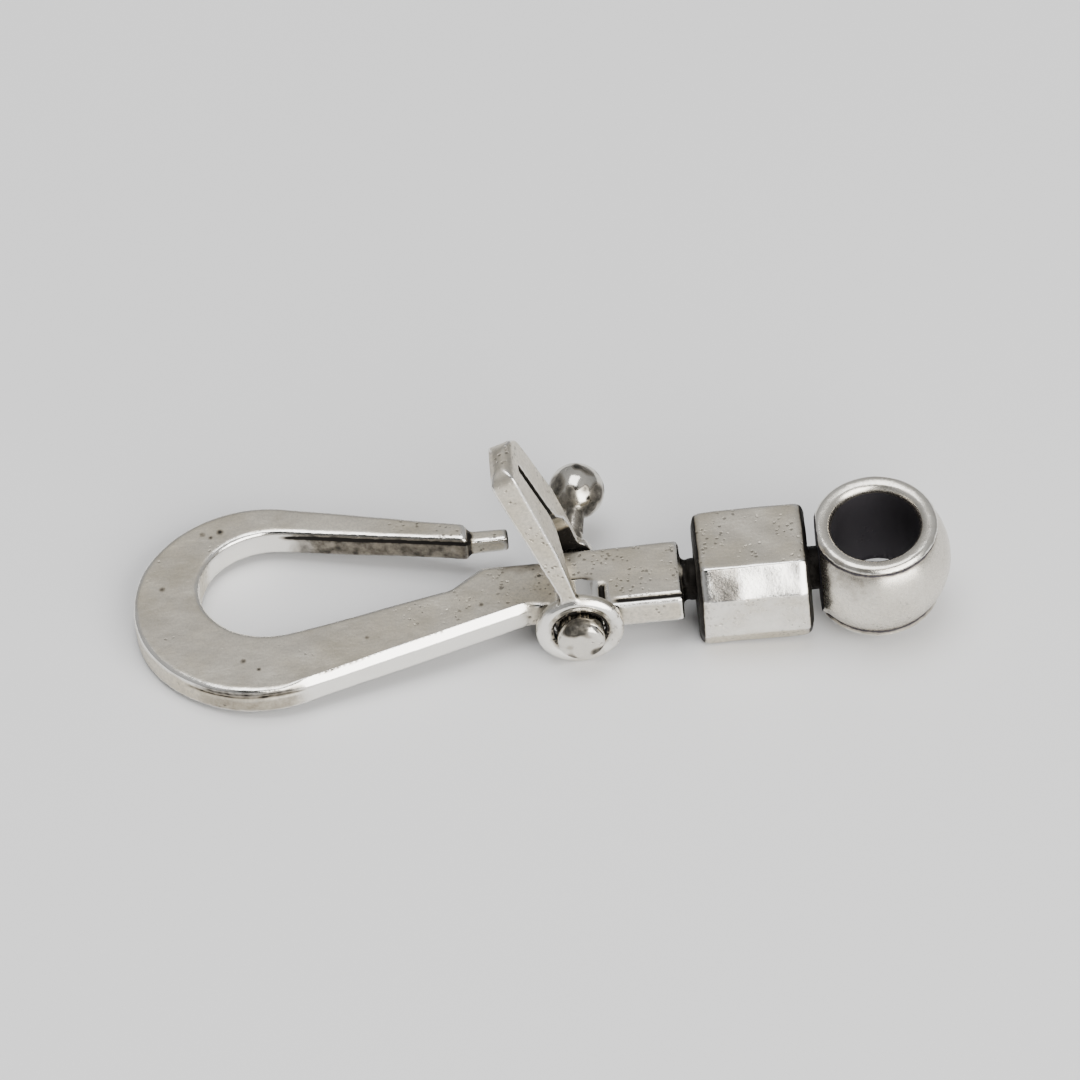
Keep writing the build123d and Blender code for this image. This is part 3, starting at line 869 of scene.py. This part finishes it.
def make_keeper():
    seat = keeper_seat()
    bm = keeper_blank()
    for near, far, diameter in ((-LEG_OUTER, -LEG_INNER, KEEPER_EYE_DIAMETER),
                                (LEG_INNER, LEG_OUTER, KEEPER_FAR_EYE_DIAMETER)):
        eye = bmesh.new()
        round_bar(eye, (0, near, 0), (0, far, 0), diameter, segments=96)
        round_rims(eye, 0.1)
        if near < 0:
            lathe(eye, [(radius, near - proud, 0) for radius, proud in EYE_RING], (0, 0, 0), (0, 1, 0), 96)
        spare = bpy.data.meshes.new("eye")
        eye.to_mesh(spare)
        eye.free()
        bm.from_mesh(spare)
        bpy.data.meshes.remove(spare)
    bmesh.ops.transform(bm, matrix=seat, verts=bm.verts)
    bmesh.ops.recalc_face_normals(bm, faces=bm.faces)
    keeper = cast(as_object(bm, "keeper_strip"), KEEPER_GRID, 7)
    for side, diameter in ((-1, NEAR_EYE_BORE), (1, FAR_EYE_BORE)):
        bore = bmesh.new()
        round_bar(bore, (PIN_ALONG, 0, 0), (PIN_ALONG, side * 3, 0), diameter, segments=96)
        cut(keeper, as_object(bore, "eye_bore"))
    to_blank = seat.inverted()

    def dark(point, normal):
        flat = to_blank @ point
        slot_middle = blend_between(flat.x, KEEPER_FORK_END, KEEPER_REACH, KEEPER_SLOT_ACROSS,
                                    KEEPER_SLOT_ACROSS_END)
        # Painted shade on the faces that look into the fork, the slot and the eyes
        faces_in = soft_step(0.5, 0.9, -normal.y if point.y > slot_middle else normal.y)
        in_fork = faces_in * soft_band(1.5, 2.0, 2.4, 3.0, flat.x) * 0.8
        in_fork *= soft_drop(0.35, 0.75, abs(point.y - slot_middle))
        in_slot = faces_in * soft_step(2.4, 2.8, flat.x) * 0.8
        at_eye = faces_in * soft_drop(0.9, 1.4, flat.x) * 0.9
        eye_bore = NEAR_EYE_BORE if point.y < 0 else FAR_EYE_BORE
        bore_edge = 0.56 * soft_drop(0.02, 0.10, math.hypot(flat.x, flat.z) - eye_bore / 2)
        bore_edge *= soft_step(0.5, 0.9, abs(normal.y))
        # Painted shade on the underside, away from the eye
        under = 0.30 * soft_step(0.2, 0.8, -(to_blank.to_3x3() @ normal).z) * soft_step(0.9, 1.6, flat.x)
        return max(in_fork, in_slot, at_eye, under, bore_edge)

    def bright(point, normal):
        flat = to_blank @ point
        # A painted highlight on the near eye's raised ring, broken up unevenly
        ring = soft_band(0.74, 0.82, 1.15, 1.3, math.hypot(flat.x, flat.z)) * soft_step(1.45, 1.55, -point.y)
        return ring * (0.5 + 0.5 * soft_step(-0.2, 0.2, unevenness(point, 0.5, 14.0)))

    hand_finished(keeper, [(1.3, 0.018, 4.0), (0.45, 0.006, 8.0)])
    mark_relief(keeper, dark, bright)
    return seated(keeper, "keeper", "keeper", SATIN_SILVER)


# The collar: a block bead with cut long edges
def make_collar():
    bm = bmesh.new()
    half_width, half_height = COLLAR_WIDTH / 2, COLLAR_HEIGHT / 2
    flat, wall = half_width - COLLAR_CUT_ACROSS, half_height - COLLAR_CUT_UP
    corners = [(flat, half_height), (half_width, wall), (half_width, -wall), (flat, -half_height),
               (-flat, -half_height), (-half_width, -wall), (-half_width, wall), (-flat, half_height)]
    pen = bm.verts.new((corners[0][0], corners[0][1], 0.0))
    for corner in corners[1:] + corners[:1]:
        pen = line_to(bm, pen, corner)
    filled(bm, COLLAR_LENGTH)
    upright = Matrix(((0, 0, 1, COLLAR_START), (1, 0, 0, 0), (0, 1, 0, 0), (0, 0, 0, 1)))
    bmesh.ops.transform(bm, matrix=upright, verts=bm.verts)
    ends = [edge for edge in bm.edges if abs(edge.verts[0].co.x - edge.verts[1].co.x) < 0.01]
    bmesh.ops.bevel(bm, geom=ends, offset=COLLAR_END_CUT, segments=2, profile=0.5, affect="EDGES",
                    material=-1)
    collar = cast(as_object(bm, "cut_collar"), HOOK_GRID, 4)
    bore = bmesh.new()
    round_bar(bore, (COLLAR_START - 1, 0, 0), (COLLAR_START + COLLAR_LENGTH + 1, 0, 0), POST_DIAMETER + 0.04)
    cut(collar, as_object(bore, "post_bore"))

    def near_cut(normal):
        """How far the surface is the collar's near upper cut, which is polished and carries a painted
        highlight and a painted dark reflection.
        """
        return soft_step(0.35, 0.5, normal.z) * soft_step(0.35, 0.5, -normal.y)

    def dark(point, normal):
        end_face = soft_step(0.28, 0.6, abs(normal.x))
        # Painted shade on the undersides
        under = 0.5 * soft_step(0.5, 0.95, -normal.z)
        along = point.x - COLLAR_START
        # A painted dark reflection on the near cut's left part
        dark_reflection = 0.40 * near_cut(normal) * soft_band(0.2, 0.5, 1.0, 1.4, along)
        return max(end_face, under, dark_reflection)

    def bright(point, normal):
        # Painted highlights on the near cut, which is polished, and on the near wall
        near_wall = 0.45 * soft_step(0.8, 0.95, -normal.y)
        return max(near_cut(normal), near_wall)

    hand_finished(collar, [(2.0, 0.04, 6.0), (0.6, 0.012, 3.0)])
    mark_relief(collar, dark, bright)
    return seated(collar, "clasp", "collar", SATIN_SILVER)


# The eye bead: a barrel with a raised rim round its hole and a short neck
def make_bead():
    bm = bmesh.new()
    half, barrel_half = BEAD_HEIGHT / 2, BEAD_HEIGHT / 2 - RIM_HEIGHT
    swell = (BEAD_DIAMETER - BEAD_SHOULDER_DIAMETER) / 2
    sweep_radius = (barrel_half ** 2 + swell ** 2) / (2 * swell)
    most = math.asin(barrel_half / sweep_radius)
    profile = []
    for step in range(17):
        turn = -most + 2 * most * step / 16
        profile.append((BEAD_DIAMETER / 2 - sweep_radius * (1 - math.cos(turn)),
                        sweep_radius * math.sin(turn)))
    rim, bore, shoulder = RIM_DIAMETER / 2, BORE_DIAMETER / 2, BEAD_SHOULDER_DIAMETER / 2
    top = [(shoulder - 0.02, barrel_half + 0.03), (shoulder - 0.01, barrel_half + 0.07),
           (rim - 0.05, barrel_half + 0.10), (rim, barrel_half + 0.16), (rim - 0.02, half - 0.12),
           (rim - 0.10, half - 0.03), (rim - 0.2, half), (bore + 0.16, half - 0.02),
           (bore + 0.06, half - 0.09), (bore, half - 0.22)]
    profile = profile + top
    bottom = [(bore - 0.18, -half)] + [(radius, -height) for radius, height in reversed(top[:-3])]
    ring = [(BEAD_ALONG + radius, 0, height) for radius, height in bottom + profile]
    ring.append(ring[0])
    lathe(bm, ring, (BEAD_ALONG, 0, 0), (0, 0, 1), 96)
    lean = Matrix.Rotation(math.radians(BEAD_TURN), 4, "X")
    turned = (Matrix.Translation((BEAD_ALONG, 0, BEAD_RISE)) @ lean
              @ Matrix.Translation((-BEAD_ALONG, 0, 0)))
    to_bead = turned.inverted()
    bmesh.ops.transform(bm, matrix=turned, verts=bm.verts)
    bead = as_object(bm, "barrel_bead")
    neck = bmesh.new()
    round_bar(neck, (BEAD_START, 0, 0), (BEAD_ALONG - BORE_DIAMETER / 2 - 0.12, 0, 0), BEAD_NECK_DIAMETER)
    round_rims(neck, 0.12)
    neck_piece = as_object(neck, "bead_neck")
    front = bmesh.new()
    block(front, (BEAD_START - 1, -3, -3), (BEAD_START, 3, 3))
    cut(bead, as_object(front, "bead_front"))
    bm = bmesh.new()
    bm.from_mesh(bead.data)
    bm.from_mesh(neck_piece.data)
    bpy.data.objects.remove(neck_piece)
    bm.to_mesh(bead.data)
    bm.free()
    cast(bead, BEAD_GRID, 2)
    hole = bmesh.new()
    bmesh.ops.create_cone(hole, cap_ends=True, segments=96, radius1=BORE_DIAMETER / 2 - HOLE_LESS_BELOW,
                          radius2=BORE_DIAMETER / 2 + HOLE_MORE_ABOVE, depth=HOLE_LENGTH,
                          matrix=Matrix.Translation((BEAD_ALONG, 0, 0)))
    upright = [edge for edge in hole.edges if abs(edge.verts[0].co.z - edge.verts[1].co.z) > 1]
    bmesh.ops.subdivide_edges(hole, edges=upright, cuts=23, use_grid_fill=True)
    bmesh.ops.transform(hole, matrix=turned, verts=hole.verts)
    cut(bead, as_object(hole, "bead_hole"))

    def dark(point, normal):
        place = to_bead @ point
        radius = around(place, BEAD_ALONG, 0)
        off_bore = radius - BORE_DIAMETER / 2
        # Painted shade down the bore's wall
        bore_wall = soft_drop(0.03, 0.12, off_bore) * soft_step(0.16, 0.34, half - place.z)
        # Painted shade in the groove under each rim
        under_rim = soft_drop(0.02, 0.20, abs(abs(place.z) - barrel_half - 0.05))
        under_rim *= soft_step(0.03, 0.12, off_bore - 0.16) * 0.46
        # Painted shadow under the top rim on the front left, which the halo browns
        front_left = soft_step(0.0, 0.5, -place.y / radius)
        front_left *= soft_step(-0.1, 0.35, -(place.x - BEAD_ALONG) / radius)
        rim_shadow = 0.27 * front_left * soft_step(0.0, 0.9, place.z) * soft_step(0.2, 0.4, off_bore)
        face = soft_step(0.7, 0.95, -normal.x) * soft_drop(0.05, 0.2, point.x - BEAD_START)
        return max(bore_wall, under_rim, rim_shadow, face)

    hand_finished(bead, [(1.8, 0.022, 2.5), (0.5, 0.006, 1.5)])
    mark_relief(bead, dark)
    return seated(bead, "clasp", "eye_bead", BEAD_SILVER)


# Floor, light and camera
def make_floor():
    bm = bmesh.new()
    bmesh.ops.create_grid(bm, x_segments=1, y_segments=1, size=0.6)
    floor = as_object(bm, "floor")
    material = bpy.data.materials.new("pale_floor")
    material.use_nodes = True
    shader = material.node_tree.nodes["Principled BSDF"]
    shader.inputs["Base Color"].default_value = (0.79, 0.79, 0.79, 1.0)
    shader.inputs["Roughness"].default_value = 0.6
    floor.data.materials.append(material)


def soft_light(name, place, target, size, power, colour):
    """A square soft light turned to its target."""
    lamp = bpy.data.lights.new(name, "AREA")
    lamp.shape = "RECTANGLE"
    lamp.size, lamp.size_y = size
    lamp.energy = power
    lamp.color = colour
    holder = bpy.data.objects.new(name, lamp)
    holder.location = place
    holder.rotation_euler = (Vector(target) - Vector(place)).to_track_quat("-Z", "Y").to_euler()
    bpy.context.scene.collection.objects.link(holder)


def make_light():
    """A dim pale room with a dark corner behind the camera, and a low soft window on the right."""
    world = bpy.data.worlds.new("studio")
    world.use_nodes = True
    tree = world.node_tree
    ground = tree.nodes["Background"]
    place = node(tree, "ShaderNodeTexCoord")
    apart = node(tree, "ShaderNodeSeparateXYZ")
    tree.links.new(place.outputs["Generated"], apart.inputs[0])
    lift = ramp_between(tree, apart.outputs["Z"], -0.1, 0.95)
    sky = mix_colour(tree, lift, (0.33, 0.335, 0.345, 1.0), (0.54, 0.54, 0.545, 1.0))
    towards = node(tree, "ShaderNodeVectorMath", operation="DOT_PRODUCT", values={1: (-0.10, -0.70, 0.71)})
    tree.links.new(place.outputs["Generated"], towards.inputs[0])
    shade = ramp_between(tree, towards.outputs["Value"], 0.86, 0.97)
    shaded = mix_colour(tree, shade, sky, (0.03, 0.03, 0.028, 1.0))
    tree.links.new(shaded, ground.inputs["Color"])
    bpy.context.scene.world = world
    soft_light("window_right", (0.145, -0.235, 0.135), (0, 0, 0.002), (0.30, 0.30), 2.0, (1.0, 0.985, 0.96))
    soft_light("ceiling", (-0.05, 0.02, 0.40), (0, 0, 0), (0.30, 0.24), 1.15, (0.97, 0.98, 1.0))


def make_camera():
    """The photograph's viewing angle on the clasp, from close by with a long lens."""
    azimuth, elevation, distance = math.radians(-3.9), math.radians(45.3), 0.217
    target = Vector((0.0, 0.0002, 0.0024))
    towards = Vector((math.sin(azimuth) * math.cos(elevation), -math.cos(azimuth) * math.cos(elevation),
                      math.sin(elevation)))
    lens = bpy.data.cameras.new("camera")
    lens.sensor_width = 36.0
    lens.lens = 272.0
    lens.clip_start = 0.01
    camera = bpy.data.objects.new("camera", lens)
    camera.location = target + towards * distance
    camera.rotation_euler = (-towards).to_track_quat("-Z", "Y").to_euler()
    bpy.context.scene.collection.objects.link(camera)
    bpy.context.scene.camera = camera


make_camera()
make_hook()
make_pin()
make_keeper()
make_collar()
make_bead()
make_floor()
make_light()
